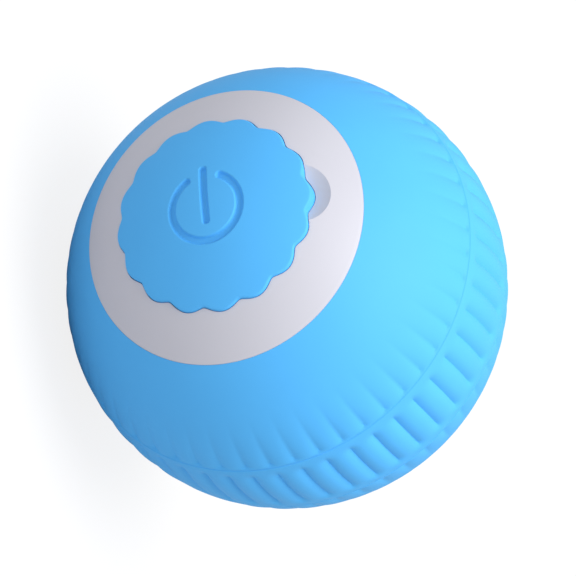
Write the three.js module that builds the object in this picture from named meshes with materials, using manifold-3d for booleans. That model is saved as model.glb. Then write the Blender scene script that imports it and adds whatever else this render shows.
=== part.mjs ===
// Self rolling cat ball: a ribbed silicone skin over two plastic half shells,
// with a swinging counterweight, its geared motor, battery and control board inside.
// Millimetres, +Z up. The roll axis is Y, the button faces -Y, the origin is the ball's centre.
import * as THREE from 'three';
import { mergeVertices } from 'three/addons/utils/BufferGeometryUtils.js';
import Module from 'manifold-3d';

const wasm = await Module();
wasm.setup();

// Stations are turns about the roll axis in degrees from the top, clockwise seen from the button.

// Ball and its layers
const ballRadius = 21.5;
const skinThickness = 1.5;
const skinClearance = 0.3;
const shellWall = 1.6;
const windowRadius = 14.3;
const windowClearance = 0.3;
const edgeRound = 0.25;
const partingGap = 0.1;
const seatGap = 0.1;
const overrun = 1;

// Tread: ribs along the meridians, in three rows parted by two seams
const ribCount = 52;
const ribGrooveDepth = 0.4;
const ribGrooveWidthShare = 0.17;
const seamHeight = 4.85;
const seamWidth = 0.6;
const seamDepth = 0.35;
const outerRowHeight = 11.6;
const bandGrooveHeight = 3.9;
const grooveEndLength = 0.4;
const fadeShare = 0.48;
const fadeDepthShare = 0.74;

// Scalloped cap over the charging port, with the power sign pressed into it
const capRadius = 10.4;
const scallopDepth = 0.85;
const scallopCount = 16;
const capProud = 0.3;
const capWall = 1.5;
const capRimHeight = 1.4;
const capClearance = 0.25;
const capStation = 264.1;
const signRadius = 3.5;
const signWidth = 0.88;
const signDepth = 0.35;
const signGapHalfAngle = 29;
const signBarTop = 4.4;
const signBarBottom = -1.9;
const capLift = 7;

// Finger-nail notch beside the cap
const notchRadius = 2.94;
const notchCentre = 8.74;
const notchDepth = 0.9;

// Push switch under the cap
const pressTravel = 0.35;
const stemRadius = 1.75;
const switchSize = 6;
const switchHeight = 3.5;
const nibRadius = 1.8;

// Charging port standing on the board
const portWidth = 8.94;
const portHeight = 3.16;
const portLength = 6.5;
const portWall = 0.3;
const portOffset = 5.6;
const portTongueWidth = 6.7;
const portTongueThickness = 0.7;
const portTongueSink = 1.7;
const plugDepth = 0.9;
const mouthClearance = 0.3;

// Pocket floor, control board and what stands on it
const floorThickness = 1.4;
const floorDepth = 4.2;
const boardRadius = 12.6;
const boardThickness = 1;
const boardScrewRadius = 11.2;
const boardScrewStations = [45, 160, 290];
const standoffRadius = 1.5;
const ledSize = 2.8;
const ledHeight = 1.9;
const ledPlace = [7.5, 2];
const chipLength = 4.9;
const chipWidth = 3.9;
const chipHeight = 1.5;
const chipPlace = [-6, 2.5];

// Screws
const screwRadius = 0.8;
const screwHeadRadius = 1.3;
const screwHeadHeight = 0.8;
const screwLength = 4;
const screwClearance = 0.15;

// Drive chassis: a plate on three posts of the port half shell
const plateHeight = 3;
const plateThickness = 1;
const plateRadius = 12.9;
const postRadius = 1.6;
const postCircle = 10.9;
const postStations = [90, 180, 270];
const pillarRadius = 1.3;
const pillarPegRadius = 0.6;
const pillarStations = [135, 225, 300];
const coverThickness = 0.8;
const coverRadius = 12.6;

// Gear train: pinion, two compound gears and the output gear on the roll axis
const module_ = 0.3;
const pinionTeeth = 9;
const wheelTeeth = 28;
const outputTeeth = 42;
const toothBacklash = 0.13;
const gearFace = 1;
const outputFace = 1.2;
const layerGap = 0.3;
const secondGearStation = 53;
const firstGearOffset = 7.45;
const motorOffset = 7.4;
const pinRadius = 0.5;
const runningClearance = 0.1;
const hubRadius = 1.8;
const shaftRadius = 1;

// Motor: a round can with two flats, held between two walls of the chassis
const motorRadius = 5;
const motorFlat = 4;
const motorLength = 9.4;
const motorCapLength = 1.6;
const motorBossRadius = 1.75;
const motorBossLength = 0.8;
const motorShaftRadius = 0.5;
const motorShaftSink = 3;
const cradleWall = 0.8;
const cradleLength = 7.5;
const cradleInnerWidth = 8;
const cradleOuterWidth = 5;

// Battery taped under a tray of the chassis
const batteryWidth = 18;
const batteryHeight = 4.8;
const batteryLength = 11;
const batteryLow = -9;
const batteryRound = 0.9;
const tapeThickness = 0.5;
const trayThickness = 1;
const trayLength = 9;

// Counterweight: half a ring, hung from the output shaft by a web
const weightClearance = 0.7;
const weightInnerRadius = 13.5;
const weightStart = -3.4;
const webGap = 0.3;
const webThickness = 1.2;
const weightHubRadius = 3;
const weightHubHeight = 2.6;

// Leads
const leadRadius = 0.3;
const leadSides = 6;
const leadSpread = 1.5;
const leadStraightShare = 1.2;

// Facets
const roundFacets = ribCount;
const plateFacets = 32;
const smallFacets = 12;
const pinFacets = 10;
const shellSteps = 3;

// Sizes worked out from those above
const skinInner = ballRadius - skinThickness;
const shellOuter = skinInner - skinClearance;
const shellInner = shellOuter - shellWall;
const discRadius = windowRadius - windowClearance;
const capDome = ballRadius + capProud;
const floorTop = ballRadius - floorDepth;
const floorUnder = floorTop - floorThickness;
const boardTop = floorTop - portLength - seatGap;
const boardUnder = boardTop - boardThickness;
const capRimUnder = floorTop + pressTravel + screwClearance;
const plateTop = plateHeight + plateThickness;
const layerOne = plateTop + layerGap;
const layerTwo = layerOne + gearFace + layerGap;
const layerThree = layerTwo + gearFace + layerGap;
const coverUnder = layerThree + outputFace + layerGap;
const coverTop = coverUnder + coverThickness;
const webUnder = coverTop + webGap;
const webTop = webUnder + webThickness;
const weightOuter = shellInner - weightClearance;
const motorFront = plateHeight - seatGap;
const motorBack = motorFront - motorLength;
const motorCapBack = motorBack - seatGap - motorCapLength;
const batteryFront = plateHeight - seatGap;
const batteryBack = batteryFront - batteryLength;
const batteryTop = batteryLow + batteryHeight;
const batteryMiddle = (batteryLow + batteryTop) / 2;
const tapeLow = batteryTop + seatGap;
const trayLow = tapeLow + tapeThickness + seatGap;

// Materials
const blueSilicone = new THREE.MeshStandardMaterial({ color: 0x5bb6f2, roughness: 0.6, metalness: 0 });
const paleShell = new THREE.MeshStandardMaterial({ color: 0xd8d6e2, roughness: 0.45, metalness: 0 });
const whitePlastic = new THREE.MeshStandardMaterial({ color: 0xeeeeea, roughness: 0.5, metalness: 0 });
const gearPlastic = new THREE.MeshStandardMaterial({ color: 0xf3efe2, roughness: 0.4, metalness: 0 });
const blackPlastic = new THREE.MeshStandardMaterial({ color: 0x1d1d1f, roughness: 0.5, metalness: 0 });
const boardGreen = new THREE.MeshStandardMaterial({ color: 0x1f6b3c, roughness: 0.4, metalness: 0 });
const steel = new THREE.MeshStandardMaterial({ color: 0xb9bcc0, roughness: 0.35, metalness: 1 });
const castMetal = new THREE.MeshStandardMaterial({ color: 0x8b8d90, roughness: 0.55, metalness: 1 });
const brass = new THREE.MeshStandardMaterial({ color: 0xc9a45c, roughness: 0.35, metalness: 1 });
const pouchFoil = new THREE.MeshStandardMaterial({ color: 0xb4b8bd, roughness: 0.4, metalness: 0.2 });
const foam = new THREE.MeshStandardMaterial({ color: 0xf0f0f0, roughness: 0.9, metalness: 0 });
const ledLens = new THREE.MeshStandardMaterial({ color: 0xf4e9a8, roughness: 0.3, metalness: 0 });
const redLead = new THREE.MeshStandardMaterial({ color: 0xc62828, roughness: 0.5, metalness: 0 });
const blackLead = new THREE.MeshStandardMaterial({ color: 0x202020, roughness: 0.5, metalness: 0 });

// Shape helpers

// Height on a sphere above the point at a given distance from the axis
function rise(sphere, radius) {
  return Math.sqrt(sphere * sphere - radius * radius);
}

function solid(geometry) {
  const bare = geometry.clone();
  bare.deleteAttribute('normal');
  bare.deleteAttribute('uv');
  const merged = mergeVertices(bare);
  const vertProperties = new Float32Array(merged.attributes.position.array);
  const triVerts = new Uint32Array(merged.index.array);
  return new wasm.Manifold(new wasm.Mesh({ numProp: 3, vertProperties, triVerts }));
}

function geometryOf(body) {
  const mesh = body.getMesh();
  const geometry = new THREE.BufferGeometry();
  geometry.setAttribute('position', new THREE.BufferAttribute(new Float32Array(mesh.vertProperties), 3));
  geometry.setIndex(new THREE.BufferAttribute(new Uint32Array(mesh.triVerts), 1));
  return geometry;
}

// A closed profile of [radius, height along the roll axis] turned about the roll axis
function revolve(profile, facets = roundFacets) {
  const points = profile.map(([radius, height]) => new THREE.Vector2(radius, height));
  points.push(points[0].clone());
  const body = solid(new THREE.LatheGeometry(points, facets));
  return body.volume() < 0 ? solid(new THREE.LatheGeometry(points.reverse(), facets)) : body;
}

// Arc of a profile on a sphere, from one radius to another, on the side of the given sign
function arc(sphere, fromRadius, toRadius, steps, side = 1) {
  const from = Math.asin(fromRadius / sphere);
  const to = Math.asin(toRadius / sphere);
  return Array.from({ length: steps + 1 }, (_, i) => {
    const polar = from + ((to - from) * i) / steps;
    return [sphere * Math.sin(polar), side * sphere * Math.cos(polar)];
  });
}

// An outline in x and z, drawn out along the roll axis between two heights
function prism(shape, from, to, curveSegments = 6) {
  const geometry = new THREE.ExtrudeGeometry(shape, { depth: to - from, bevelEnabled: false, curveSegments });
  geometry.rotateX(Math.PI / 2);
  geometry.translate(0, to, 0);
  return solid(geometry);
}

function disc(radius, from, to, facets = smallFacets) {
  const geometry = new THREE.CylinderGeometry(radius, radius, to - from, facets);
  geometry.translate(0, (from + to) / 2, 0);
  return solid(geometry);
}

function block(width, from, to, low, high) {
  const geometry = new THREE.BoxGeometry(width, to - from, high - low);
  geometry.translate(0, (from + to) / 2, (low + high) / 2);
  return solid(geometry);
}

// Rectangle with round corners, centred on a point
function roundedRectangle(width, height, corner, centreX, centreZ) {
  const shape = new THREE.Shape();
  const x = width / 2;
  const z = height / 2;
  const right = [centreX + x - corner, centreX - x + corner];
  const top = [centreZ + z - corner, centreZ - z + corner];
  shape.absarc(right[0], top[0], corner, 0, Math.PI / 2);
  shape.absarc(right[1], top[0], corner, Math.PI / 2, Math.PI);
  shape.absarc(right[1], top[1], corner, Math.PI, Math.PI * 1.5);
  shape.absarc(right[0], top[1], corner, Math.PI * 1.5, Math.PI * 2);
  return shape;
}

// Where a station and a distance from the roll axis lie in x and z
function spot(station, radius) {
  const angle = THREE.MathUtils.degToRad(station);
  return [radius * Math.sin(angle), radius * Math.cos(angle)];
}

function moved(body, x, z) {
  return body.translate([x, 0, z]);
}

function atStation(body, station, radius) {
  const [x, z] = spot(station, radius);
  return moved(body, x, z);
}

// Turn about the roll axis that brings the top to the station
function turned(body, station) {
  return body.rotate([0, station, 0]);
}

const part = new THREE.Group();

function add(group, name, body, material) {
  const geometry = body instanceof THREE.BufferGeometry ? body : geometryOf(body);
  const mesh = new THREE.Mesh(geometry, material);
  mesh.name = name;
  group.add(mesh);
}

const ball = new THREE.Group();
const weightSwing = new THREE.Group();
const firstGearSpin = new THREE.Group();
const secondGearSpin = new THREE.Group();
const rotorSpin = new THREE.Group();
const capPress = new THREE.Group();
part.add(ball, weightSwing, firstGearSpin, secondGearSpin, rotorSpin, capPress);

// Tread skin: rings of points from the opening over the ribs to the other opening

// Joins two rings of points, whatever their counts, always stepping on the ring that lags
function bridge(faces, ringA, ringB) {
  let a = 0;
  let b = 0;
  while (a < ringA.length || b < ringB.length) {
    const stepA = (a + 1) * ringB.length <= (b + 1) * ringA.length;
    const atA = ringA[a % ringA.length];
    const atB = ringB[b % ringB.length];
    if (stepA) {
      a += 1;
      faces.push(atA, ringA[a % ringA.length], atB);
    } else {
      b += 1;
      faces.push(atA, ringB[b % ringB.length], atB);
    }
  }
}

function treadSkin() {
  const positions = [];
  const rings = [];
  const pitch = (Math.PI * 2) / ribCount;
  const grooveHalf = pitch * ribGrooveWidthShare;

  // One ring at a height, its points on a sphere that the groove and the seam sink below
  function ring(sphere, height, grooveShare, sink, fine) {
    const indices = [];
    const polar = Math.acos(height / sphere);
    for (let rib = 0; rib < ribCount; rib += 1) {
      const valley = (rib + 0.5) * pitch;
      const columns = fine ? [0, grooveHalf, pitch - grooveHalf] : [0];
      columns.forEach((offset, column) => {
        const groove = column === 0 ? grooveShare * ribGrooveDepth : 0;
        const reach = sphere - Math.max(groove, sink);
        const angle = valley + offset;
        indices.push(positions.length / 3);
        positions.push(reach * Math.sin(polar) * Math.sin(angle));
        positions.push(reach * Math.cos(polar));
        positions.push(reach * Math.sin(polar) * Math.cos(angle));
      });
    }
    rings.push(indices);
  }

  // Heights of the outer face from the opening to the middle, with the share of groove depth
  const seamTop = seamHeight + seamWidth / 2;
  const seamBottom = seamHeight - seamWidth / 2;
  const outerLength = outerRowHeight - seamTop;
  const edgeHeight = rise(ballRadius, windowRadius + edgeRound);
  const rows = [
    { height: edgeHeight, groove: 0, sink: 0, fine: false },
    { height: (edgeHeight + outerRowHeight) / 2, groove: 0, sink: 0, fine: false },
    { height: outerRowHeight, groove: 0, sink: 0, fine: true },
    { height: seamTop + outerLength * fadeShare, groove: fadeDepthShare, sink: 0, fine: true },
    { height: seamTop + grooveEndLength, groove: 1, sink: 0, fine: true },
    { height: seamTop, groove: 0, sink: 0, fine: true },
    { height: seamHeight, groove: 0, sink: seamDepth, fine: true },
    { height: seamBottom, groove: 0, sink: 0, fine: true },
    { height: bandGrooveHeight, groove: 0, sink: 0, fine: true },
    { height: bandGrooveHeight - grooveEndLength, groove: 1, sink: 0, fine: true },
  ];
  const middle = { height: 0, groove: 1, sink: 0, fine: true };
  const mirrored = rows.map((row) => ({ ...row, height: -row.height })).reverse();
  const wallTop = rise(ballRadius - edgeRound, windowRadius);
  const wallSphere = Math.hypot(windowRadius, wallTop);
  const innerArc = arc(skinInner, windowRadius, skinInner, shellSteps).map(([, height]) => height);
  const innerHeights = [...innerArc.map((height) => -height), ...innerArc.slice(0, -1).reverse()];

  ring(wallSphere, wallTop, 0, 0, false);
  [...rows, middle, ...mirrored].forEach((row) => ring(ballRadius, row.height, row.groove, row.sink, row.fine));
  ring(wallSphere, -wallTop, 0, 0, false);
  innerHeights.forEach((height) => ring(skinInner, height, 0, 0, false));

  const faces = [];
  rings.forEach((indices, i) => bridge(faces, rings[(i + 1) % rings.length], indices));
  const geometry = new THREE.BufferGeometry();
  geometry.setAttribute('position', new THREE.BufferAttribute(new Float32Array(positions), 3));
  geometry.setIndex(faces);
  return geometry;
}

add(ball, 'tread_skin', treadSkin(), blueSilicone);

// Outline with scallops that bulge out between sharp valleys, a lobe on every crest
function scallopOutline(radius, depth) {
  const pointsPerLobe = 6;
  const count = scallopCount * pointsPerLobe;
  const shape = new THREE.Shape();
  for (let i = 0; i < count; i += 1) {
    const angle = (i / count) * Math.PI * 2;
    const reach = radius - depth * (1 - Math.abs(Math.cos((angle * scallopCount) / 2)));
    const point = [reach * Math.sin(angle), reach * Math.cos(angle)];
    if (i === 0) {
      shape.moveTo(...point);
    } else {
      shape.lineTo(...point);
    }
  }
  shape.closePath();
  return shape;
}

// Port half shell: the front half, with the cap's pocket, the board's standoffs and three posts
const lipThickness = (shellWall - skinClearance) / 2;
const lipLength = lipThickness * 2;
const parting = partingGap / 2;

function portHalfShell() {
  const discBase = rise(shellOuter, discRadius);
  const cavityRadius = rise(shellInner, floorUnder);
  const pocketCore = capRadius - scallopDepth - capWall;
  const outline = [
    [0, -floorTop],
    [pocketCore, -floorTop],
    ...arc(ballRadius, pocketCore, discRadius - edgeRound, 3, -1),
    [discRadius, -rise(ballRadius - edgeRound, discRadius)],
    [discRadius, -discBase],
    ...arc(shellOuter, windowRadius, rise(shellOuter, parting), shellSteps, -1),
    [shellInner + lipThickness, -parting],
    [shellInner + lipThickness, lipLength],
    [shellInner, lipLength],
    ...arc(shellInner, shellInner, cavityRadius, 4, -1).slice(1),
    [0, -floorUnder],
  ];
  let body = revolve(outline);
  const pocket = turned(
    prism(scallopOutline(capRadius + capClearance, scallopDepth), -ballRadius - overrun, -floorTop),
    capStation,
  );
  const mouth = roundedRectangle(
    portWidth + mouthClearance * 2,
    portHeight + mouthClearance * 2,
    portHeight / 2,
    0,
    -portOffset,
  );
  const portHole = turned(prism(mouth, -floorTop - overrun, -floorUnder + overrun), capStation);
  const stemHole = disc(stemRadius + mouthClearance, -floorTop - overrun, -floorUnder + overrun);
  body = body.subtract(pocket).subtract(portHole).subtract(stemHole).subtract(nailNotch());

  const keep = disc(shellInner + lipThickness / 2, -floorUnder - floorThickness / 2, lipLength, roundFacets);
  const ball_ = revolve(arc(shellInner + shellWall / 2, 0, shellInner + shellWall / 2, 12, -1).concat([[0, 0]]));
  const inside = keep.intersect(ball_);
  postStations.forEach((station) => {
    const post = atStation(disc(postRadius, -floorTop, plateHeight - seatGap), station, postCircle);
    const reach = inside.add(disc(postCircle + postRadius * 2, 0, plateHeight - seatGap, roundFacets));
    body = body.add(post.intersect(reach));
    const hole = disc(screwRadius + screwClearance, plateHeight - screwLength - screwClearance, plateHeight);
    body = body.subtract(atStation(hole, station, postCircle));
  });
  boardScrewStations.forEach((station) => {
    const standoff = disc(standoffRadius, -floorTop, -boardTop - seatGap);
    body = body.add(atStation(standoff, station, boardScrewRadius).intersect(inside));
    const depth = boardTop + screwLength - screwHeadHeight + screwClearance;
    const hole = disc(screwRadius + screwClearance, -depth, -boardTop + overrun);
    body = body.subtract(atStation(hole, station, boardScrewRadius));
  });
  return body;
}

// A scoop for the finger nail: a short round-bottomed cut that deepens toward the cap
function nailNotch() {
  const [x, z] = spot(capStation + 90, notchCentre);
  const low = rise(ballRadius, notchCentre + notchRadius) - notchDepth;
  return moved(disc(notchRadius, -ballRadius, -low, 24), x, z);
}

add(ball, 'port_half_shell', portHalfShell(), paleShell);

// Far half shell: the plain half, with a cored disc and a rebate for the other half's lip
function farHalfShell() {
  const discBase = rise(shellOuter, discRadius);
  const coreSphere = ballRadius - shellWall;
  const coreRadius = discRadius - shellWall;
  const rebate = shellInner + lipThickness + skinClearance;
  return revolve([
    ...arc(ballRadius, 0, discRadius - edgeRound, 4),
    [discRadius, rise(ballRadius - edgeRound, discRadius)],
    [discRadius, discBase],
    ...arc(shellOuter, windowRadius, rise(shellOuter, parting), shellSteps),
    [rebate, parting],
    [rebate, lipLength + skinClearance],
    ...arc(shellInner, rise(shellInner, lipLength + skinClearance), coreRadius, 3),
    ...arc(coreSphere, coreRadius, 0, 2),
  ]);
}

add(ball, 'far_half_shell', farHalfShell(), paleShell);

// Drive chassis: plate, motor cradle, battery tray and the pillars that carry the gear cover
const pinionGearDistance = ((pinionTeeth + wheelTeeth) * module_) / 2;
const outputGearDistance = ((pinionTeeth + outputTeeth) * module_) / 2;

// Station step between two points at known distances from the axis and from each other
function stationStep(radiusA, radiusB, apart) {
  const cosine = (radiusA * radiusA + radiusB * radiusB - apart * apart) / (2 * radiusA * radiusB);
  return THREE.MathUtils.radToDeg(Math.acos(cosine));
}

const firstGearStation =
  secondGearStation - stationStep(firstGearOffset, outputGearDistance, pinionGearDistance);
const motorStation = firstGearStation - stationStep(firstGearOffset, motorOffset, pinionGearDistance);
const firstGearSpot = spot(firstGearStation, firstGearOffset);
const secondGearSpot = spot(secondGearStation, outputGearDistance);
const motorSpot = spot(motorStation, motorOffset);

function driveChassis() {
  let body = disc(plateRadius, plateHeight, plateTop, plateFacets);
  const innerWall = motorOffset - motorFlat - seatGap;
  const outerWall = motorOffset + motorFlat + seatGap;
  const cradleBack = plateHeight - cradleLength;
  const cradle = block(cradleInnerWidth, cradleBack, plateTop, innerWall - cradleWall, innerWall)
    .add(block(cradleOuterWidth, cradleBack, plateTop, outerWall, outerWall + cradleWall));
  body = body.add(turned(cradle, motorStation));
  body = body.add(block(batteryWidth, plateHeight - trayLength, plateTop, trayLow, trayLow + trayThickness));
  pillarStations.forEach((station) => {
    const pillar = disc(pillarRadius, plateHeight, coverUnder - seatGap)
      .add(disc(pillarPegRadius, plateHeight, coverTop, pinFacets));
    body = body.add(atStation(pillar, station, postCircle));
  });
  postStations.forEach((station) => {
    const hole = disc(screwRadius + screwClearance, plateHeight - overrun, plateTop + overrun);
    body = body.subtract(atStation(hole, station, postCircle));
  });
  const bossHole = disc(motorBossRadius + mouthClearance, plateHeight - overrun, plateTop + overrun);
  body = body.subtract(moved(bossHole, ...motorSpot));
  const bearing = disc(shaftRadius + runningClearance, plateHeight - overrun, plateTop + overrun);
  body = body.subtract(bearing);
  [firstGearSpot, secondGearSpot].forEach((place) => {
    const hole = disc(pinRadius + runningClearance, plateHeight - overrun, plateTop + overrun, pinFacets);
    body = body.subtract(moved(hole, ...place));
  });
  return body;
}

add(ball, 'drive_chassis', driveChassis(), whitePlastic);

// Gear cover, riveted on the pillars' pegs
function gearCover() {
  let body = disc(coverRadius, coverUnder, coverTop, plateFacets);
  pillarStations.forEach((station) => {
    const hole = disc(pillarPegRadius + runningClearance, coverUnder - overrun, coverTop + overrun, pinFacets);
    body = body.subtract(atStation(hole, station, postCircle));
  });
  body = body.subtract(disc(shaftRadius + runningClearance, coverUnder - overrun, coverTop + overrun));
  [firstGearSpot, secondGearSpot].forEach((place) => {
    const hole = disc(pinRadius + runningClearance, coverUnder - overrun, coverTop + overrun, pinFacets);
    body = body.subtract(moved(hole, ...place));
  });
  return body;
}

add(ball, 'gear_cover', gearCover(), whitePlastic);

// Gear pins between plate and cover
[['first_gear_pin', firstGearSpot], ['second_gear_pin', secondGearSpot]].forEach(([name, place]) => {
  add(ball, name, moved(disc(pinRadius, plateHeight, coverTop, pinFacets), ...place), steel);
});

// Control board with notches for the posts
function controlBoard() {
  let body = disc(boardRadius, -boardTop, -boardUnder, plateFacets);
  postStations.forEach((station) => {
    const reach = postRadius + mouthClearance;
    const notch = block(reach * 2, -boardTop - overrun, -boardUnder + overrun, postCircle, boardRadius + overrun);
    const round = disc(reach, -boardTop - overrun, -boardUnder + overrun);
    body = body.subtract(turned(notch, station)).subtract(atStation(round, station, postCircle));
  });
  boardScrewStations.forEach((station) => {
    const hole = disc(screwRadius + screwClearance, -boardTop - overrun, -boardUnder + overrun);
    body = body.subtract(atStation(hole, station, boardScrewRadius));
  });
  return body;
}

add(ball, 'control_board', controlBoard(), boardGreen);

// A screw along the roll axis, its head seated on a face that looks toward the given side
function screw(face) {
  const seat = face + seatGap;
  return disc(screwRadius, seat - screwLength, seat + overrunOfHead, pinFacets)
    .add(disc(screwHeadRadius, seat, seat + screwHeadHeight));
}

const overrunOfHead = screwHeadHeight / 2;

boardScrewStations.forEach((station, i) => {
  add(ball, `board_screw_${i + 1}`, atStation(screw(-boardUnder), station, boardScrewRadius), steel);
});
postStations.forEach((station, i) => {
  add(ball, `chassis_screw_${i + 1}`, atStation(screw(plateTop), station, postCircle), steel);
});

// Charging port: a folded steel sleeve round a flat tongue, standing on the board
function portOutline(grow) {
  const width = portWidth + grow * 2;
  const height = portHeight + grow * 2;
  return roundedRectangle(width, height, height * 0.49, 0, -portOffset);
}

const portTop = boardTop + portLength;
const portBase = boardTop + seatGap;
const sleeve = prism(portOutline(0), -portTop, -portBase)
  .subtract(prism(portOutline(-portWall), -portTop - overrun, -portBase - portWall));
const tongueShape = roundedRectangle(
  portTongueWidth,
  portTongueThickness,
  portTongueThickness * 0.3,
  0,
  -portOffset,
);
const tongue = prism(tongueShape, -portTop + portTongueSink, -portBase - portWall - seatGap, 1);
add(ball, 'port_sleeve', turned(sleeve, capStation), steel);
add(ball, 'port_tongue', turned(tongue, capStation), blackPlastic);

// Push switch, lamp and controller on the board
function onBoard(width, depth, height, place) {
  const geometry = new THREE.BoxGeometry(width, height, depth);
  geometry.translate(place[0], -boardTop - seatGap - height / 2, place[1]);
  return turned(solid(geometry), capStation);
}

const stemBoreDepth = pressTravel * 3;
const switchTop = boardTop + seatGap + switchHeight;
const stemBore = disc(
  stemRadius + runningClearance,
  -switchTop - overrun,
  -switchTop + stemBoreDepth + seatGap,
);
add(ball, 'switch_case', onBoard(switchSize, switchSize, switchHeight, [0, 0]).subtract(stemBore), blackPlastic);
add(ball, 'status_lamp', onBoard(ledSize, ledSize, ledHeight, ledPlace), ledLens);
add(ball, 'controller_chip', onBoard(chipLength, chipWidth, chipHeight, chipPlace), blackPlastic);

// Battery and its tape
const batteryShape = roundedRectangle(
  batteryWidth,
  batteryHeight,
  batteryRound,
  0,
  batteryMiddle,
);
add(ball, 'battery_cell', prism(batteryShape, batteryBack, batteryFront, 3), pouchFoil);
const tapeWidth = batteryWidth - batteryRound * 2;
const tape = block(tapeWidth, plateHeight - trayLength, batteryFront, tapeLow, tapeLow + tapeThickness);
add(ball, 'battery_tape', tape, foam);

// Motor: can with two flats and a front bearing boss, and its plastic end cap
function motorOutline(radius, flat) {
  const half = Math.acos(flat / radius);
  const shape = new THREE.Shape();
  shape.absarc(0, motorOffset, radius, half + Math.PI / 2, Math.PI * 1.5 - half);
  shape.absarc(0, motorOffset, radius, half - Math.PI / 2, Math.PI / 2 - half);
  return shape;
}

const motorBossTop = motorFront + motorBossLength;
const can = prism(motorOutline(motorRadius, motorFlat), motorBack, motorFront, 7)
  .add(moved(disc(motorBossRadius, motorFront - motorBossLength, motorBossTop), 0, motorOffset))
  .subtract(moved(disc(
    motorShaftRadius + runningClearance,
    motorFront - motorShaftSink - seatGap,
    motorBossTop + overrun,
    pinFacets,
  ), 0, motorOffset));
add(ball, 'motor_can', turned(can, motorStation), steel);
const endCap = prism(motorOutline(motorRadius - seatGap, motorFlat - seatGap), motorCapBack, motorBack - seatGap, 7);
add(ball, 'motor_end_cap', turned(endCap, motorStation), blackPlastic);

// Leads: short soft wires from the motor and the battery to the board
function lead(points) {
  const curve = new THREE.CatmullRomCurve3(points.map((point) => new THREE.Vector3(...point)));
  const section = new THREE.Shape();
  section.absarc(0, 0, leadRadius, 0, Math.PI * 2);
  const steps = points.length * 2;
  const options = { extrudePath: curve, steps, bevelEnabled: false, curveSegments: leadSides / 2 };
  return new THREE.ExtrudeGeometry(section, options);
}

const leadEnd = boardUnder - seatGap;

// A lead that leaves the piece behind it squarely, steps aside and meets the board squarely
function leadFrom(back, x, z) {
  const start = back - seatGap;
  const straight = leadRadius * leadStraightShare;
  const aside = z + leadRadius * 2;
  return lead([
    [x, start, z],
    [x, start - straight, z],
    [x, straight - leadEnd, aside],
    [x, -leadEnd, aside],
  ]);
}

[['motor_lead_red', -1, redLead], ['motor_lead_black', 1, blackLead]].forEach(([name, side, material]) => {
  const x = motorSpot[0] + side * leadSpread;
  add(ball, name, solid(leadFrom(motorCapBack, x, motorSpot[1])), material);
});
[['battery_lead_red', -1, redLead], ['battery_lead_black', 1, blackLead]].forEach(([name, side, material]) => {
  add(ball, name, solid(leadFrom(batteryBack, side * leadSpread, batteryMiddle)), material);
});

// Gears

// Outline of a spur gear with a tooth or a gap on its own top
function gearOutline(teeth, toothOnTop, turn) {
  const pitchRadius = (teeth * module_) / 2;
  const tip = pitchRadius + module_ * 0.85;
  const root = pitchRadius - module_ * 1.2;
  const step = (Math.PI * 2) / teeth;
  const half = step / 4 - toothBacklash / 2 / pitchRadius;
  const flank = [
    [root, half * 1.5],
    [tip, half * 0.5],
  ];
  const shape = new THREE.Shape();
  for (let i = 0; i < teeth; i += 1) {
    const centre = turn + step * (i + (toothOnTop ? 0 : 0.5));
    const points = [
      ...flank.map(([radius, offset]) => [radius, centre - offset]),
      ...flank.slice().reverse().map(([radius, offset]) => [radius, centre + offset]),
    ];
    points.forEach(([radius, angle], k) => {
      const point = [radius * Math.sin(angle), radius * Math.cos(angle)];
      if (i === 0 && k === 0) {
        shape.moveTo(...point);
      } else {
        shape.lineTo(...point);
      }
    });
  }
  shape.closePath();
  return shape;
}

// Direction from one axis to another, as a turn from the top
function heading(from, to) {
  return Math.atan2(to[0] - from[0], to[1] - from[1]);
}

const centre = [0, 0];
const towardFirst = heading(motorSpot, firstGearSpot);
const towardSecond = heading(firstGearSpot, secondGearSpot);
const towardOutput = heading(secondGearSpot, centre);

function gear(teeth, toothOnTop, turn, from, face) {
  return prism(gearOutline(teeth, toothOnTop, turn), from, from + face);
}

function axleBore(radius, from, to) {
  return disc(radius, from - overrun, to + overrun);
}

// First compound gear: its wheel meets the motor's pinion, its own pinion the second wheel
const firstGear = gear(wheelTeeth, false, towardFirst + Math.PI, layerOne, gearFace)
  .add(gear(pinionTeeth, true, towardSecond, layerOne + gearFace / 2, layerTwo + gearFace / 2 - layerOne))
  .subtract(axleBore(pinRadius + runningClearance, layerOne, layerThree));
add(firstGearSpin, 'first_gear', moved(firstGear, ...firstGearSpot), gearPlastic);

// Second compound gear: its pinion meets the output gear
const secondGear = gear(wheelTeeth, false, towardSecond + Math.PI, layerTwo, gearFace)
  .add(gear(pinionTeeth, true, towardOutput, layerTwo + gearFace / 2, layerThree + outputFace - layerTwo - gearFace / 2))
  .subtract(axleBore(pinRadius + runningClearance, layerTwo, coverUnder));
add(secondGearSpin, 'second_gear', moved(secondGear, ...secondGearSpot), gearPlastic);

// Motor pinion and shaft
const pinionBore = motorShaftRadius + seatGap / 2;
const pinion = gear(pinionTeeth, true, towardFirst, layerOne, gearFace)
  .subtract(axleBore(pinionBore, layerOne, layerTwo));
add(rotorSpin, 'motor_pinion', moved(pinion, ...motorSpot), brass);
const rotorShaft = disc(motorShaftRadius, motorFront - motorShaftSink, layerOne + gearFace, pinFacets);
add(rotorSpin, 'motor_shaft', moved(rotorShaft, ...motorSpot), steel);

// Output gear on its hub, the shaft through it, and the counterweight on the shaft's end
const outputGear = gear(outputTeeth, false, towardOutput + Math.PI, layerThree, outputFace)
  .add(disc(hubRadius, layerOne, layerThree + outputFace / 2))
  .subtract(axleBore(shaftRadius + seatGap / 2, layerOne, coverUnder));
add(weightSwing, 'output_gear', outputGear, gearPlastic);
const shaftEnd = webUnder + weightHubHeight;
add(weightSwing, 'output_shaft', disc(shaftRadius, plateHeight, shaftEnd), steel);

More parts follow.
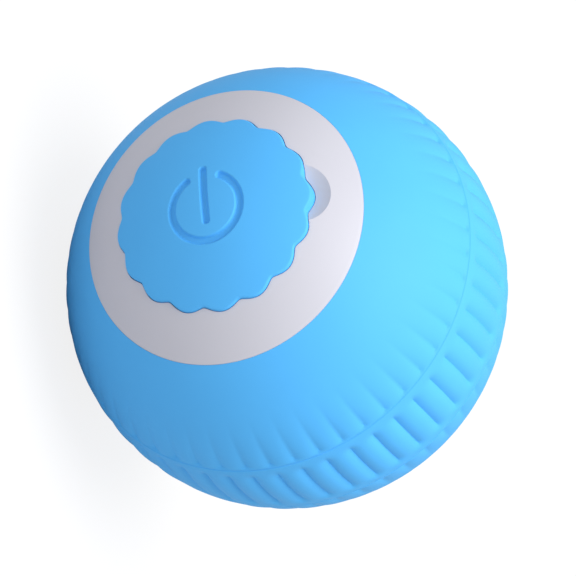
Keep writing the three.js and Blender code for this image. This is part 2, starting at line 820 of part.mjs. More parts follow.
function counterweight() {
  const startRadius = rise(weightOuter, Math.abs(weightStart));
  const endRadius = rise(weightOuter, webTop);
  const middleHeight = (webTop - Math.abs(weightStart)) / 2;
  const ring = revolve([
    [weightInnerRadius, weightStart],
    [startRadius, weightStart],
    [weightOuter, 0],
    ...arc(weightOuter, rise(weightOuter, middleHeight), endRadius, 3),
    [0, webTop],
    [0, webUnder],
    [weightInnerRadius, webUnder],
  ], plateFacets);
  const half = block(weightOuter * 2 + overrun, weightStart - overrun, webTop + overrun, -weightOuter - overrun, 0);
  return ring.intersect(half)
    .add(disc(weightHubRadius, webUnder, webUnder + weightHubHeight, 24))
    .subtract(axleBore(shaftRadius + seatGap / 2, webUnder, shaftEnd));
}

add(weightSwing, 'counterweight', counterweight(), castMetal);

// Switch stem, which the cap pushes
const stemLow = switchTop - pressTravel * 2;
const stemHigh = floorTop + pressTravel;
add(capPress, 'switch_stem', disc(stemRadius, -stemHigh, -stemLow), whitePlastic);

// Port cap: a scalloped dome with the power sign, a nib over the stem and a plug for the port
function signOutline() {
  const half = signWidth / 2;
  const gap = THREE.MathUtils.degToRad(signGapHalfAngle);
  const shape = new THREE.Shape();
  const start = Math.PI / 2 + gap;
  const end = Math.PI * 2.5 - gap;
  shape.absarc(0, 0, signRadius + half, start, end);
  shape.absarc(signRadius * Math.cos(end), signRadius * Math.sin(end), half, end, end + Math.PI);
  shape.absarc(0, 0, signRadius - half, end, start, true);
  shape.absarc(signRadius * Math.cos(start), signRadius * Math.sin(start), half, start + Math.PI, start + Math.PI * 2);
  return shape;
}

function portCap() {
  const rimRadius = capRadius - scallopDepth - capWall;
  const roof = capDome - capWall;
  const dome = revolve([
    ...arc(capDome, 0, capRadius + capClearance, 4, -1),
    [capRadius + capClearance, -capRimUnder],
    [rimRadius, -capRimUnder],
    ...arc(roof, rimRadius, 0, 2, -1),
  ], scallopCount * 2);
  let body = prism(scallopOutline(capRadius, scallopDepth), -capDome, -capRimUnder).intersect(dome);
  const bar = roundedRectangle(
    signWidth,
    signBarTop - signBarBottom,
    signWidth * 0.49,
    0,
    (signBarTop + signBarBottom) / 2,
  );
  const below = capDome - signDepth;
  const floorBall = revolve([...arc(below, 0, signBarTop + signWidth * 2, 4, -1), [0, -floorTop]], scallopCount * 2);
  const sign = prism(signOutline(), -capDome - overrun, -floorTop, 6)
    .add(prism(bar, -capDome - overrun, -floorTop, 3));
  body = body.subtract(sign.subtract(floorBall));
  const nibEnd = stemHigh + mouthClearance;
  body = body.add(disc(nibRadius, -roof - capWall / 2, -nibEnd));
  const plugWidth = portWidth - portWall * 2 - mouthClearance * 2;
  const plugHeight = portHeight - portWall * 2 - mouthClearance * 2;
  const plugShape = roundedRectangle(plugWidth, plugHeight, plugHeight * 0.49, 0, -portOffset);
  body = body.add(prism(plugShape, -rise(roof, portOffset + portHeight / 2) - capWall / 2, -portTop + plugDepth));
  return turned(body, capStation);
}

add(capPress, 'port_cap', portCap(), blueSilicone);

export default part;
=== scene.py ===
import math

import bmesh
import bpy
from mathutils import Matrix, Quaternion, Vector


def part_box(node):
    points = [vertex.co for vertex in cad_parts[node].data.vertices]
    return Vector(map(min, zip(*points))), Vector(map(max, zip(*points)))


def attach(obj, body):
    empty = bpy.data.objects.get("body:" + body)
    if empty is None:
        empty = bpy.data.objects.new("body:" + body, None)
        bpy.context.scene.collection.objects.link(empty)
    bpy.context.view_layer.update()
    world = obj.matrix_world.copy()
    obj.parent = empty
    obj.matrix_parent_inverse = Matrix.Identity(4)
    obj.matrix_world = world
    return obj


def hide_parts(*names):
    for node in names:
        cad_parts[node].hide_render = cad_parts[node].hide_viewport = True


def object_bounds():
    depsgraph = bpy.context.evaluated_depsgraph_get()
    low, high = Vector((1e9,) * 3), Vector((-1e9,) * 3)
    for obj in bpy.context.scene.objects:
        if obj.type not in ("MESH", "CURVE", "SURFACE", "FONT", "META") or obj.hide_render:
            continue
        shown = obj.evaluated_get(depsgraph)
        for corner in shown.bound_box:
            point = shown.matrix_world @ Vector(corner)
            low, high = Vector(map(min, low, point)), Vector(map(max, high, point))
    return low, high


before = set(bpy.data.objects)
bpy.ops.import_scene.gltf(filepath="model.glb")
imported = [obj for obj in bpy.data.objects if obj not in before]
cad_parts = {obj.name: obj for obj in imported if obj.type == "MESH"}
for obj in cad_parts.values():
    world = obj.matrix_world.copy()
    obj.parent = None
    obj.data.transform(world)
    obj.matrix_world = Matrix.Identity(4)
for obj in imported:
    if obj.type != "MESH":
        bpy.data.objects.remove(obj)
cad_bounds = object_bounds()
scene = bpy.context.scene
scene.view_settings.view_transform = "Standard"
mm = 0.001

# Camera: looks down on the ball from its button side, from so far off that the view is
# as good as parallel. The picture is turned until the ball's top lies at its right.
ball_radius = 21.5 * mm
picture_size = 576
ball_radius_in_picture = 221.2
picture_shift = 0.0015
camera_height = math.radians(20.07)
camera_side = math.radians(24.3)
picture_turn = math.radians(82.07)
camera_radii_away = 100
camera_distance = camera_radii_away * ball_radius
picture_width = ball_radius * picture_size / ball_radius_in_picture
toward_camera = Vector((
    math.sin(camera_side) * math.cos(camera_height),
    -math.cos(camera_side) * math.cos(camera_height),
    math.sin(camera_height),
))
photo_lens = bpy.data.cameras.new("photo_camera")
photo_lens.lens = photo_lens.sensor_width * camera_distance / picture_width
photo_lens.clip_end = 2 * camera_distance
photo_lens.shift_x = picture_shift
photo_camera = bpy.data.objects.new("photo_camera", photo_lens)
photo_camera.location = toward_camera * camera_distance
photo_camera.rotation_mode = "QUATERNION"
photo_camera.rotation_quaternion = (
    toward_camera.to_track_quat("Z", "Y") @ Quaternion((0, 0, 1), picture_turn)
)
scene.collection.objects.link(photo_camera)
scene.camera = photo_camera


# Studio: a pale floor under the ball, a round soft box above it and an even white room.
# The room shows white behind the ball and fills the shadows a little.
class Signal:
    """A socket of a finish that takes part in sums"""

    def __init__(self, finish, socket):
        self.finish = finish
        self.socket = socket

    def sum(self, operation, first, second):
        return self.finish.node("ShaderNodeMath", {"operation": operation}, {0: first, 1: second})

    def __add__(self, other):
        return self.sum("ADD", self, other)

    def __radd__(self, other):
        return self.sum("ADD", other, self)

    def __mul__(self, other):
        return self.sum("MULTIPLY", self, other)

    def __rmul__(self, other):
        return self.sum("MULTIPLY", other, self)


class Finish:
    """A node tree of a material or of the room, built one node at a time"""

    def __init__(self, owner):
        owner.use_nodes = True
        self.owner = owner
        self.tree = owner.node_tree
        self.tree.nodes.clear()

    def node(self, kind, settings=None, inputs=None, output=0):
        made = self.tree.nodes.new(kind)
        for name, value in (settings or {}).items():
            setattr(made, name, value)
        for name, value in (inputs or {}).items():
            if isinstance(value, Signal):
                self.tree.links.new(value.socket, made.inputs[name])
            else:
                made.inputs[name].default_value = value
        return Signal(self, made.outputs[output]) if len(made.outputs) else None


def colour(red, green, blue):
    """A colour as a screen shows it, each part from 0 to 255, turned into linear light"""
    brightest = 255
    dark_end = 0.04045
    dark_slope = 12.92
    curve_lift = 0.055
    curve_power = 2.4

    def linear(part):
        share = part / brightest
        if share <= dark_end:
            return share / dark_slope
        return ((share + curve_lift) / (1 + curve_lift)) ** curve_power

    return (linear(red), linear(green), linear(blue), 1)


white = (1, 1, 1, 1)
room_fill = 0.55
room = Finish(bpy.data.worlds.new("studio_room"))
scene.world = room.owner
room_seen = room.node("ShaderNodeLightPath", output="Is Camera Ray")
room_light = room.node("ShaderNodeBackground", inputs={"Color": white, "Strength": room_fill})
room_white = room.node("ShaderNodeBackground", inputs={"Color": white, "Strength": 1})
room_view = room.node("ShaderNodeMixShader", inputs={0: room_seen, 1: room_light, 2: room_white})
room.node("ShaderNodeOutputWorld", inputs={"Surface": room_view})

floor_radius = 3
floor_sides = 64
floor_paint = colour(190, 190, 192)
floor_pale_paint = colour(250, 250, 252)
floor_glow_share = 0.85
floor_mesh = bmesh.new()
bmesh.ops.create_circle(floor_mesh, cap_ends=True, segments=floor_sides, radius=floor_radius)
bmesh.ops.translate(floor_mesh, verts=floor_mesh.verts, vec=(0, 0, cad_bounds[0][2]))
floor_data = bpy.data.meshes.new("studio_floor")
floor_mesh.to_mesh(floor_data)
floor_mesh.free()
floor = bpy.data.objects.new("studio_floor", floor_data)
scene.collection.objects.link(floor)
floor_finish = Finish(bpy.data.materials.new("studio_floor"))
floor_seen = floor_finish.node("ShaderNodeLightPath", output="Is Camera Ray")
floor_plain = floor_finish.node("ShaderNodeBsdfDiffuse", inputs={"Color": floor_paint})
floor_pale = floor_finish.node("ShaderNodeBsdfDiffuse", inputs={"Color": floor_pale_paint})
floor_white = floor_finish.node("ShaderNodeEmission", inputs={"Color": white, "Strength": 1})
floor_soft = floor_finish.node(
    "ShaderNodeMixShader", inputs={0: floor_glow_share, 1: floor_pale, 2: floor_white},
)
floor_view = floor_finish.node(
    "ShaderNodeMixShader", inputs={0: floor_seen, 1: floor_plain, 2: floor_soft},
)
floor_finish.node("ShaderNodeOutputMaterial", inputs={"Surface": floor_view})
floor_data.materials.append(floor_finish.owner)

soft_box_size = 0.6
soft_box_power = 4.4
soft_box_place = Vector((0.05, -0.13, 0.6))
soft_box = bpy.data.lights.new("soft_box", "AREA")
soft_box.shape = "DISK"
soft_box.size = soft_box_size
soft_box.energy = soft_box_power
soft_box_stand = bpy.data.objects.new("soft_box", soft_box)
soft_box_stand.location = soft_box_place
soft_box_stand.rotation_mode = "QUATERNION"
soft_box_stand.rotation_quaternion = soft_box_place.to_track_quat("Z", "Y")
scene.collection.objects.link(soft_box_stand)


# Tread skin: a stretched sleeve of light blue silicone, moulded with fifty-one ribs in three
# rows. Two fine seams part the rows, the outer rows fade out toward the poles, and the ends
# are open, so that the shell's two faces show.
merge_reach = 0.001 * mm
face_tolerance = 0.01 * mm


def carry_on(mesh, tip, angle, steps):
    """Draws a profile on from its tip, along the meridian"""
    arc = bmesh.ops.spin(
        mesh, geom=[tip], axis=(1, 0, 0), cent=(0, 0, 0), dvec=(0, 0, 0), angle=angle, steps=steps,
    )
    return next(item for item in arc["geom_last"] if isinstance(item, bmesh.types.BMVert))


def pull(mesh, tip, height, radius):
    """Draws a profile on from its tip in a straight line, to a height and a radius"""
    drawn = bmesh.ops.extrude_vert_indiv(mesh, verts=[tip])["verts"][0]
    drawn.co = Vector((0, height, radius))
    return drawn


def turn_round(mesh, steps):
    """Turns a whole profile once about the roll axis"""
    bmesh.ops.spin(
        mesh, geom=mesh.verts[:] + mesh.edges[:], axis=(0, 1, 0), cent=(0, 0, 0), dvec=(0, 0, 0),
        angle=2 * math.pi, steps=steps, use_merge=True,
    )
    bmesh.ops.remove_doubles(mesh, verts=mesh.verts, dist=merge_reach)
    bmesh.ops.recalc_face_normals(mesh, faces=mesh.faces)


def finished(mesh, name, material, body, node, crease):
    """Makes a piece of a mesh: its object, finish, shading and place in the frame"""
    data = bpy.data.meshes.new(name)
    mesh.to_mesh(data)
    mesh.free()
    data.materials.append(material)
    data.shade_smooth()
    data.set_sharp_from_angle(angle=crease)
    piece = bpy.data.objects.new(name, data)
    scene.collection.objects.link(piece)
    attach(piece, body)
    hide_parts(node)


def eased(share):
    """A step from 0 to 1 with soft ends"""
    share = min(1, max(0, share))
    return share * share * (3 - 2 * share)


rib_count = 51
rib_depth = 0.4 * mm
rib_steps = 12
rib_pitch = 2 * math.pi / rib_count
seam_polar = math.radians(77)
seam_half_width = math.radians(0.32)
seam_depth = 0.1 * mm
outer_row_start = math.radians(56)
outer_row_end = math.radians(76.8)
outer_row_round = math.radians(1)
middle_row_start = math.radians(78.6)
middle_row_round = math.radians(3.6)
outer_row_share = 0.7
outer_row_rise = 2
valley_sharpness = 2.3
skin_outer = 21.48 * mm
skin_thickness = 1.5 * mm
skin_inner = skin_outer - skin_thickness
skin_opening = 14.26 * mm
skin_edge_round = 0.03 * mm
skin_inner_steps = 16
skin_crease = math.radians(40)


def rib_reach(polar):
    """How much of the full groove depth the valleys have at an angle from the pole"""
    polar = min(polar, math.pi - polar)
    outer = min(1, max(0, (polar - outer_row_start) / (outer_row_end - outer_row_start)))
    outer_end = eased((outer_row_end - polar) / outer_row_round)
    outer_reach = outer_row_share * outer ** outer_row_rise * outer_end
    middle_reach = eased((polar - middle_row_start) / middle_row_round)
    return max(outer_reach, middle_reach)


def rib_drop(station, polar):
    """How far a point of the outer face lies under the sphere that the ribs touch"""
    across = 2 * abs((station / rib_pitch + 0.5) % 1 - 0.5)
    groove = rib_depth * rib_reach(polar) * across ** valley_sharpness
    seam = abs(min(polar, math.pi - polar) - seam_polar) / seam_half_width
    return max(groove, seam_depth * (1 - eased(seam)))


# The outer face's stretches from the near opening to the middle: where each one ends, as an
# angle from the pole, and its number of steps.
skin_stretches = [
    (outer_row_start, 6),
    (outer_row_end - outer_row_round, 16),
    (seam_polar - seam_half_width, 5),
    (seam_polar + seam_half_width, 6),
    (middle_row_start, 2),
    (middle_row_start + middle_row_round, 6),
    (math.pi / 2, 6),
]
skin = bmesh.new()
edge_polar = math.asin((skin_opening + skin_edge_round) / skin_outer)
tip = skin.verts.new(Vector((0, -skin_outer * math.cos(edge_polar), skin_outer * math.sin(edge_polar))))
reached = edge_polar
for stretch_end, steps in skin_stretches:
    tip = carry_on(skin, tip, reached - stretch_end, steps)
    reached = stretch_end
bmesh.ops.mirror(
    skin, geom=skin.verts[:] + skin.edges[:], matrix=Matrix.Identity(4), merge_dist=merge_reach,
    axis="Y",
)
near_tip = min(skin.verts, key=lambda vert: vert.co.y)
far_tip = max(skin.verts, key=lambda vert: vert.co.y)
wall_foot = math.sqrt(skin_inner ** 2 - skin_opening ** 2)
edge_foot = math.sqrt((skin_outer - skin_edge_round) ** 2 - skin_opening ** 2)
near_tip = pull(skin, near_tip, -edge_foot, skin_opening)
near_tip = pull(skin, near_tip, -wall_foot, skin_opening)
inner_polar = math.asin(skin_opening / skin_inner)
near_tip = carry_on(skin, near_tip, inner_polar - math.pi + inner_polar, skin_inner_steps)
far_tip = pull(skin, far_tip, edge_foot, skin_opening)
skin.edges.new((far_tip, near_tip))
turn_round(skin, rib_count * rib_steps)
for vert in skin.verts:
    reach = vert.co.length
    if reach > skin_outer - face_tolerance:
        station = math.atan2(vert.co.x, vert.co.z)
        vert.co *= 1 - rib_drop(station, math.acos(vert.co.y / reach)) / reach

cloud_scale = 160
cloud_detail = 3
pit_scale = 4200
pit_detail = 2
pit_roughness = 0.05


def noise(finish, place, scale, detail):
    """Soft random patches from 0 to 1, smaller at a higher scale"""
    sockets = {"Vector": place, "Scale": scale, "Detail": detail}
    return finish.node("ShaderNodeTexNoise", inputs=sockets)


def mixed(finish, share, first, second):
    """A colour between two others, by a share that changes over the surface"""
    share_socket = 0
    first_socket = 6
    second_socket = 7
    colour_result = 2
    colours = {share_socket: share, first_socket: first, second_socket: second}
    return finish.node("ShaderNodeMix", {"data_type": "RGBA"}, colours, output=colour_result)


def relief(finish, height, depth):
    """A relief of a given depth, for a shader's normal"""
    return finish.node("ShaderNodeBump", inputs={"Strength": 1, "Distance": depth, "Height": height})


def shaded(finish, sockets):
    """Ends a finish with its shader and gives the material"""
    shader = finish.node("ShaderNodeBsdfPrincipled", inputs=sockets)
    finish.node("ShaderNodeOutputMaterial", inputs={"Surface": shader})
    return finish.owner


def moulded(name, tone, roughness, specular, grain, cloud=0.03, coat=0):
    """A moulded finish: a tone that clouds a little, and a fine grain from the mould"""
    finish = Finish(bpy.data.materials.new(name))
    place = finish.node("ShaderNodeTexCoord", output="Object")
    clouds = noise(finish, place, cloud_scale, cloud_detail)
    deep = tuple(part * (1 - cloud) for part in tone[:3]) + (1,)
    light = tuple(min(1, part * (1 + cloud)) for part in tone[:3]) + (1,)
    pits = noise(finish, place, pit_scale, pit_detail)
    return shaded(finish, {
        "Base Color": mixed(finish, clouds, deep, light),
        "Roughness": roughness - pit_roughness + 2 * pit_roughness * pits,
        "Specular IOR Level": specular,
        "Coat Weight": coat,
        "Normal": relief(finish, pits, grain),
    })


blue_silicone = moulded(
    "blue_silicone", tone=colour(89, 186, 254), roughness=0.55, specular=0.12, grain=0.002 * mm,
)
finished(skin, "ribbed_skin", blue_silicone, "ball", "tread_skin", skin_crease)


# Port half shell: the pale front half of the plastic shell. Its face shows as a ring round
# the cap, with the cap's scalloped pocket and a scoop for the finger nail moulded into it.
cap_turn = math.radians(264.1)
scallop_count = 16
scallop_depth = 0.5 * mm
scallop_softness = 0.22
pocket_radius = 10.12 * mm
pocket_floor = -17.3 * mm
pocket_edge_round = 0.05 * mm
face_radius = 14.25 * mm
face_edge_round = 0.03 * mm
plain_face_width = 0.5 * mm
shell_outer = 19.7 * mm
shell_inner = 18.1 * mm
shell_columns = 384
face_steps = 14
wall_steps = 24
shell_crease = math.radians(25)
parting = 0.05 * mm
lip_radius = 18.75 * mm
lip_length = 1.3 * mm
floor_under = -15.9 * mm
hair_breadth = 1e-6 * mm


def rise(sphere, radius):
    """Height on a sphere above the point at a distance from the roll axis"""
    return math.sqrt(sphere ** 2 - radius ** 2)


def arc_to(mesh, tip, height, steps):
    """Draws a profile on from its tip round the ball's centre, to a height"""
    reach = tip.co.length
    start = math.acos(min(1, -tip.co.y / reach))
    return carry_on(mesh, tip, start - math.acos(min(1, -height / reach)), steps)


def rounded(mesh, corner, radius, steps=4):
    """Rounds a corner of a profile"""
    bmesh.ops.bevel(
        mesh, geom=[corner], offset=radius, segments=steps, profile=0.5, affect="VERTICES",
        material=-1,
    )


def scalloped(station, radius):
    """Reach of the scalloped outline at an angle about the roll axis, for its greatest radius"""
    wave = math.hypot(math.cos((station - cap_turn) * scallop_count / 2), scallop_softness)
    lobe = (wave - scallop_softness) / (math.hypot(1, scallop_softness) - scallop_softness)
    return radius - scallop_depth * (1 - lobe)


def scallop(vert, radius, share, sphere=None):
    """Moves a point in or out to follow the scallops, along a sphere if one is given"""
    station = math.atan2(vert.co.x, vert.co.z)
    reach = math.hypot(vert.co.x, vert.co.z)
    moved = reach + share * (scalloped(station, radius) - radius)
    if sphere:
        vert.co.y -= rise(sphere, moved) - rise(sphere, reach)
    vert.co.x = moved * math.sin(station)
    vert.co.z = moved * math.cos(station)


def joined(mesh, tool, operation):
    """Joins, cuts or crosses a solid with another one"""
    stands = []
    for part in (mesh, tool):
        data = bpy.data.meshes.new("solid")
        part.to_mesh(data)
        part.free()
        stands.append(bpy.data.objects.new("solid", data))
        scene.collection.objects.link(stands[-1])
    modifier = stands[0].modifiers.new("joined", "BOOLEAN")
    modifier.operation = operation
    modifier.object = stands[1]
    graph = bpy.context.evaluated_depsgraph_get()
    result = bmesh.new()
    result.from_object(stands[0], graph)
    for stand in stands:
        data = stand.data
        bpy.data.objects.remove(stand)
        bpy.data.meshes.remove(data)
    return result


def place_at(station, circle, height=0.0):
    """Place at an angle about the roll axis, a distance from it and a height along it"""
    return Vector((circle * math.sin(station), height, circle * math.cos(station)))


def add_bar(mesh, station, circle, radius, low, high, sides=48):
    """Adds a round bar along the roll axis to a mesh"""
    upright = Matrix.Rotation(math.pi / 2, 4, "X")
    middle = place_at(station, circle, (low + high) / 2)
    bmesh.ops.create_cone(
        mesh, cap_ends=True, segments=sides, radius1=radius, radius2=radius, depth=high - low,
        matrix=Matrix.Translation(middle) @ upright,
    )


end_round_share = 0.49
end_round_steps = 8
along_axis = 0.99


def add_oblong(mesh, station, circle, width, depth, low, high):
    """Adds a bar with half-round ends, along the roll axis and square to its own angle"""
    place = Matrix.Translation(place_at(station, circle, (low + high) / 2))
    size = Matrix.Diagonal((width, high - low, depth, 1))
    cube = bmesh.ops.create_cube(mesh, size=1, matrix=place @ Matrix.Rotation(station, 4, "Y") @ size)
    corners = {
        edge for vert in cube["verts"] for edge in vert.link_edges
        if abs((edge.verts[0].co - edge.verts[1].co).normalized().y) > along_axis
    }
    bmesh.ops.bevel(
        mesh, geom=list(corners), offset=end_round_share * depth, segments=end_round_steps,
        profile=0.5, affect="EDGES", material=-1,
    )


port_shell = bmesh.new()
tip = port_shell.verts.new(Vector((0, pocket_floor, 0)))
tip = pull(port_shell, tip, pocket_floor, pocket_radius)
tip = mouth_edge = pull(port_shell, tip, -rise(ball_radius, pocket_radius), pocket_radius)
tip = face_edge = arc_to(port_shell, tip, -rise(ball_radius, face_radius), face_steps)
tip = pull(port_shell, tip, -rise(shell_outer, face_radius), face_radius)
tip = arc_to(port_shell, tip, -parting, wall_steps)
tip = pull(port_shell, tip, -parting, lip_radius)
tip = pull(port_shell, tip, lip_length, lip_radius)
tip = pull(port_shell, tip, lip_length, shell_inner)
tip = pull(port_shell, tip, 0, shell_inner)
tip = arc_to(port_shell, tip, floor_under, wall_steps)
tip = pull(port_shell, tip, floor_under, 0)
rounded(port_shell, mouth_edge, pocket_edge_round)
rounded(port_shell, face_edge, face_edge_round)
turn_round(port_shell, shell_columns)
for vert in port_shell.verts:
    radius = math.hypot(vert.co.x, vert.co.z)
    on_floor = abs(vert.co.y - pocket_floor) < hair_breadth
    if vert.co.y < pocket_floor + hair_breadth and radius > hair_breadth:
        past_edge = radius - pocket_radius - pocket_edge_round
        share = 1 - eased(past_edge / (face_radius - pocket_radius - plain_face_width))
        scallop(vert, pocket_radius, share, None if on_floor else ball_radius)

screw_numbers = (1, 2, 3)
post_radius = 1.6 * mm
post_top = 2.9 * mm
standoff_radius = 1.5 * mm
standoff_top = -10.8 * mm
post_root = -16.6 * mm
screw_hole = 0.95 * mm
screw_hole_sides = 32
post_hole_low = -1.15 * mm
standoff_hole_low = -14.05 * mm
hole_over = 0.5 * mm
stem_hole = 2.05 * mm
port_offset = 5.6 * mm
mouth_width = 9.54 * mm
mouth_depth = 3.76 * mm
scoop_radius = 6 * mm
scoop_distance = 26.44 * mm
scoop_lean = math.radians(24.77)
scoop_turn = math.radians(352.93)
scoop_sides = 128
core_sides = 96
posts = bmesh.new()
cuts = bmesh.new()
for name, radius, top, hole_low in (
    ("chassis_screw", post_radius, post_top, post_hole_low),
    ("board_screw", standoff_radius, standoff_top, standoff_hole_low),
):
    for number in screw_numbers:
        low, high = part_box(f"{name}_{number}")
        middle = (low + high) / 2
        spot = (math.atan2(middle.x, middle.z), math.hypot(middle.x, middle.z))
        add_bar(posts, *spot, radius, post_root, top)
        add_bar(cuts, *spot, screw_hole, hole_low, top + hole_over, screw_hole_sides)
through_floor = (pocket_floor - hole_over, floor_under + hole_over)
add_bar(cuts, 0, 0, stem_hole, *through_floor)
add_oblong(cuts, cap_turn + math.pi, port_offset, mouth_width, mouth_depth, *through_floor)
scoop_place = place_at(
    scoop_turn, scoop_distance * math.sin(scoop_lean), -scoop_distance * math.cos(scoop_lean),
)
bmesh.ops.create_uvsphere(
    cuts, u_segments=scoop_sides, v_segments=scoop_sides // 2, radius=scoop_radius,
    matrix=Matrix.Translation(scoop_place),
)
# The posts end inside the shell's wall, where a sphere trims them.
shell_core = bmesh.new()
bmesh.ops.create_uvsphere(
    shell_core, u_segments=core_sides, v_segments=core_sides // 2,
    radius=(shell_inner + shell_outer) / 2,
)
port_shell = joined(port_shell, joined(posts, shell_core, "INTERSECT"), "UNION")
port_shell = joined(port_shell, cuts, "DIFFERENCE")
pale_plastic = moulded(
    "pale_plastic", tone=colour(206, 206, 216), roughness=0.42, specular=0.3, grain=0.001 * mm,
    cloud=0.015,
)
finished(port_shell, "pale_front_shell", pale_plastic, "ball", "port_half_shell", shell_crease)


# Far half shell: the plain half, with a cored disc in the skin's other opening and a
# rebate that takes the front half's lip.
core_sphere = 19.9 * mm
core_radius = 12.4 * mm
core_steps = 20
disc_steps = 24
rebate_radius = 19.05 * mm
rebate_depth = 1.6 * mm
far_shell = bmesh.new()
tip = far_shell.verts.new(Vector((0, -ball_radius, 0)))
tip = disc_edge = arc_to(far_shell, tip, -rise(ball_radius, face_radius), disc_steps)
tip = pull(far_shell, tip, -rise(shell_outer, face_radius), face_radius)
tip = arc_to(far_shell, tip, -parting, wall_steps)
tip = pull(far_shell, tip, -parting, rebate_radius)
tip = pull(far_shell, tip, -rebate_depth, rebate_radius)
tip = pull(far_shell, tip, -rebate_depth, rise(shell_inner, rebate_depth))
tip = arc_to(far_shell, tip, -rise(shell_inner, core_radius), core_steps)
tip = pull(far_shell, tip, -rise(core_sphere, core_radius), core_radius)
tip = arc_to(far_shell, tip, -core_sphere, core_steps)
rounded(far_shell, disc_edge, face_edge_round)
turn_round(far_shell, shell_columns)
bmesh.ops.rotate(
    far_shell, verts=far_shell.verts, cent=(0, 0, 0), matrix=Matrix.Rotation(math.pi, 3, "Z"),
)
finished(far_shell, "pale_far_shell", pale_plastic, "ball", "far_half_shell", shell_crease)


# Port cap: a soft scalloped dome in the skin's blue, with the power sign pressed into it.
# Its nib bears on the switch's stem and its plug stops the charging port.
dome = 21.77 * mm
dome_steps = 14
cap_radius = 10.06 * mm
cap_edge_round = 0.14 * mm
cap_edge_steps = 5
cap_crease = math.radians(60)
cap_under = -17.8 * mm
rim_inner = 8.05 * mm
roof = 20.3 * mm
side_top = -18.5 * mm
fade_start = 8.2 * mm
fade_end = 9.4 * mm
sign_field = 5.25 * mm
sign_rows = 75
sign_radius = 3.5 * mm
sign_half_width = 0.44 * mm
sign_gap = math.radians(29)
sign_depth = 0.36 * mm
sign_wall = 0.2 * mm
bar_top = 4.4 * mm
bar_low = -1.9 * mm
bar_round = 0.36 * mm
nib_radius = 1.8 * mm
nib_end = -17.95 * mm
plug_width = 7.74 * mm
plug_depth = 1.96 * mm
plug_end = -16.3 * mm
root_sink = 0.75 * mm


def sign_distance(x, z):
    """How far a point of the dome lies outside the power sign's grooves, below 0 inside them"""
    if abs(math.atan2(x, z)) > sign_gap:
        ring = abs(math.hypot(x, z) - sign_radius)
    else:
        ring_end_x = sign_radius * math.sin(sign_gap)
        ring_end_z = sign_radius * math.cos(sign_gap)
        ring = math.hypot(abs(x) - ring_end_x, z - ring_end_z)
    off_x = abs(x) - sign_half_width + bar_round
    off_z = abs(z - (bar_top + bar_low) / 2) - (bar_top - bar_low) / 2 + bar_round
    bar = math.hypot(max(off_x, 0), max(off_z, 0)) + min(max(off_x, off_z), 0) - bar_round
    return min(ring - sign_half_width, bar)


cap = bmesh.new()
tip = cap.verts.new(Vector((0, -dome, 0)))
tip = arc_to(cap, tip, -rise(dome, sign_field), sign_rows)
tip = cap_edge = arc_to(cap, tip, -rise(dome, cap_radius), dome_steps)
tip = pull(cap, tip, cap_under, cap_radius)
tip = pull(cap, tip, cap_under, rim_inner)
tip = pull(cap, tip, -rise(roof, rim_inner), rim_inner)
tip = arc_to(cap, tip, -roof, dome_steps)
rounded(cap, cap_edge, cap_edge_round, cap_edge_steps)
turn_round(cap, shell_columns)
for vert in cap.verts:
    radius = math.hypot(vert.co.x, vert.co.z)
    if radius > fade_start:
        share = eased((radius - fade_start) / (fade_end - fade_start))
        scallop(vert, cap_radius, share, dome if vert.co.y < side_top else None)
    elif vert.co.length > dome - face_tolerance:
        local = math.atan2(vert.co.x, vert.co.z) - cap_turn
        inside = -sign_distance(radius * math.sin(local), radius * math.cos(local))
        vert.co *= 1 - sign_depth * eased(inside / sign_wall) / dome
fittings = bmesh.new()
add_bar(fittings, 0, 0, nib_radius, -roof - root_sink, nib_end)
plug_root = -rise(roof, port_offset + plug_depth) - root_sink
add_oblong(fittings, cap_turn + math.pi, port_offset, plug_width, plug_depth, plug_root, plug_end)
cap = joined(cap, fittings, "UNION")
finished(cap, "scalloped_cap", blue_silicone, "cap", "port_cap", cap_crease)


# Drive frame, gear cover and switch stem: white moulded plastic. The frame carries the motor
# and the gears inside the shell, and like every piece from here on it keeps its own form and
# gets only its finish.
def coated(material, *names):
    """Gives pieces that keep their form a finish"""
    for name in names:
        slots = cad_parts[name].data.materials
        if len(slots):
            slots[0] = material
        else:
            slots.append(material)


white_plastic = moulded(
    "white_plastic", tone=colour(236, 236, 232), roughness=0.5, specular=0.4, grain=0.003 * mm,
    cloud=0.02,
)
coated(white_plastic, "drive_chassis", "gear_cover", "switch_stem")


# Gears: natural acetal, moulded, a little waxy, with faint clouds from the melt's flow.
# The first two turn on steel pins, and the output gear turns with its shaft.
natural_acetal = moulded(
    "natural_acetal", tone=colour(242, 238, 226), roughness=0.38, specular=0.5,
    grain=0.0015 * mm, cloud=0.03,
)
coated(natural_acetal, "output_gear", "first_gear", "second_gear")


# Pins, shafts, screws, motor can and port sleeve: bright steel, turned or drawn, with fine
# lines round the roll axis and a few duller patches.
patch_scale = 350
patch_detail = 3
patch_roughness = 0.06
line_detail = 4


def metal(name, dark, light, roughness, line_depth, line_scale, stretch=(1, 1, 1)):
    """A metal finish with lines that are packed closer by their stretch along the axes"""
    finish = Finish(bpy.data.materials.new(name))
    place = finish.node("ShaderNodeTexCoord", output="Object")
    lined = finish.node("ShaderNodeMapping", inputs={"Vector": place, "Scale": stretch})
    lines = noise(finish, lined, line_scale, line_detail)
    patches = noise(finish, place, patch_scale, patch_detail)
    return shaded(finish, {
        "Base Color": mixed(finish, patches, dark, light),
        "Metallic": 1,
        "Roughness": roughness - patch_roughness + 2 * patch_roughness * patches,
        "Normal": relief(finish, lines, line_depth),
    })


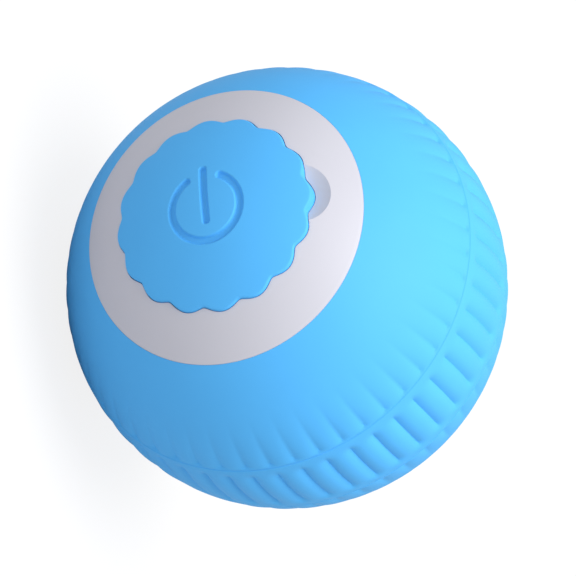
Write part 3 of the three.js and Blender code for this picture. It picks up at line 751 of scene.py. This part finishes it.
bright_steel = metal(
    "bright_steel", dark=colour(176, 179, 184), light=colour(208, 210, 214), roughness=0.3,
    line_depth=0.004 * mm, line_scale=900, stretch=(1, 12, 1),
)
coated(
    bright_steel, "first_gear_pin", "second_gear_pin", "output_shaft", "motor_shaft", "motor_can",
    "port_sleeve", *(f"board_screw_{number}" for number in screw_numbers),
    *(f"chassis_screw_{number}" for number in screw_numbers),
)


# Counterweight: a plain zinc casting, duller than the steel, with the mould's coarse grain.
# It sits on the end of the output shaft and hangs below it.
cast_metal = metal(
    "cast_metal", dark=colour(118, 120, 124), light=colour(150, 152, 156), roughness=0.52,
    line_depth=0.02 * mm, line_scale=1500,
)
coated(cast_metal, "counterweight")


# Motor pinion: turned brass, with the tool's fine rings. It is pressed on the motor's shaft
# and drives the first gear.
turned_brass = metal(
    "turned_brass", dark=colour(186, 146, 74), light=colour(214, 178, 104), roughness=0.28,
    line_depth=0.003 * mm, line_scale=900, stretch=(1, 14, 1),
)
coated(turned_brass, "motor_pinion")


# Control board: green solder mask on glass laminate, with the copper tracks as paler lines
# that stand up a little under the mask. Three screws hold it behind the front face.
mask_green = colour(24, 92, 48)
track_green = colour(44, 128, 68)
track_scale = 520
track_scatter = 0.6
track_threshold = 0.62
track_height = 0.02 * mm
mask_roughness = 0.32
mask_coat = 0.3
board_finish = Finish(bpy.data.materials.new("solder_mask"))
board_place = board_finish.node("ShaderNodeTexCoord", output="Object")
board_cells = board_finish.node(
    "ShaderNodeTexVoronoi", {"feature": "F1", "distance": "MANHATTAN"},
    {"Vector": board_place, "Scale": track_scale, "Randomness": track_scatter},
)
board_tracks = board_finish.node(
    "ShaderNodeMath", {"operation": "GREATER_THAN"}, {0: board_cells, 1: track_threshold},
)
solder_mask = shaded(board_finish, {
    "Base Color": mixed(board_finish, board_tracks, mask_green, track_green),
    "Roughness": mask_roughness,
    "Coat Weight": mask_coat,
    "Normal": relief(board_finish, board_tracks, track_height),
})
coated(solder_mask, "control_board")


# Chip, switch case, motor end cap and port tongue: black moulded plastic with a fine grain.
# The chip and the switch sit on the board, the end cap closes the motor, and the tongue
# stands in the middle of the charging port.
black_plastic = moulded(
    "black_plastic", tone=colour(32, 32, 35), roughness=0.5, specular=0.45, grain=0.004 * mm,
    cloud=0.12,
)
coated(black_plastic, "controller_chip", "switch_case", "motor_end_cap", "port_tongue")


# Status lamp: a milky resin lens under a clear glossy face. It sits on the control board,
# beside the switch.
lamp_resin = moulded(
    "lamp_resin", tone=colour(244, 243, 226), roughness=0.2, specular=0.5, grain=0.001 * mm,
    cloud=0.04, coat=0.6,
)
coated(lamp_resin, "status_lamp")


# Battery: a silver laminate pouch, creased by its folds. A strip of pale foam tape holds it
# under a tray of the drive frame.
foil_pouch = metal(
    "foil_pouch", dark=colour(168, 172, 178), light=colour(200, 203, 208), roughness=0.36,
    line_depth=0.06 * mm, line_scale=220,
)
coated(foil_pouch, "battery_cell")
foam_tape = moulded(
    "foam_tape", tone=colour(226, 226, 220), roughness=0.85, specular=0.2, grain=0.05 * mm,
    cloud=0.08,
)
coated(foam_tape, "battery_tape")


# Leads: red and black insulation, slightly glossy, with faint clouds in the dye. They are
# soldered to the board and run to the motor and the battery.
red_insulation = moulded(
    "red_insulation", tone=colour(196, 34, 30), roughness=0.36, specular=0.5, grain=0.001 * mm,
    cloud=0.06,
)
coated(red_insulation, "motor_lead_red", "battery_lead_red")
black_insulation = moulded(
    "black_insulation", tone=colour(26, 26, 28), roughness=0.36, specular=0.5,
    grain=0.001 * mm, cloud=0.1,
)
coated(black_insulation, "motor_lead_black", "battery_lead_black")
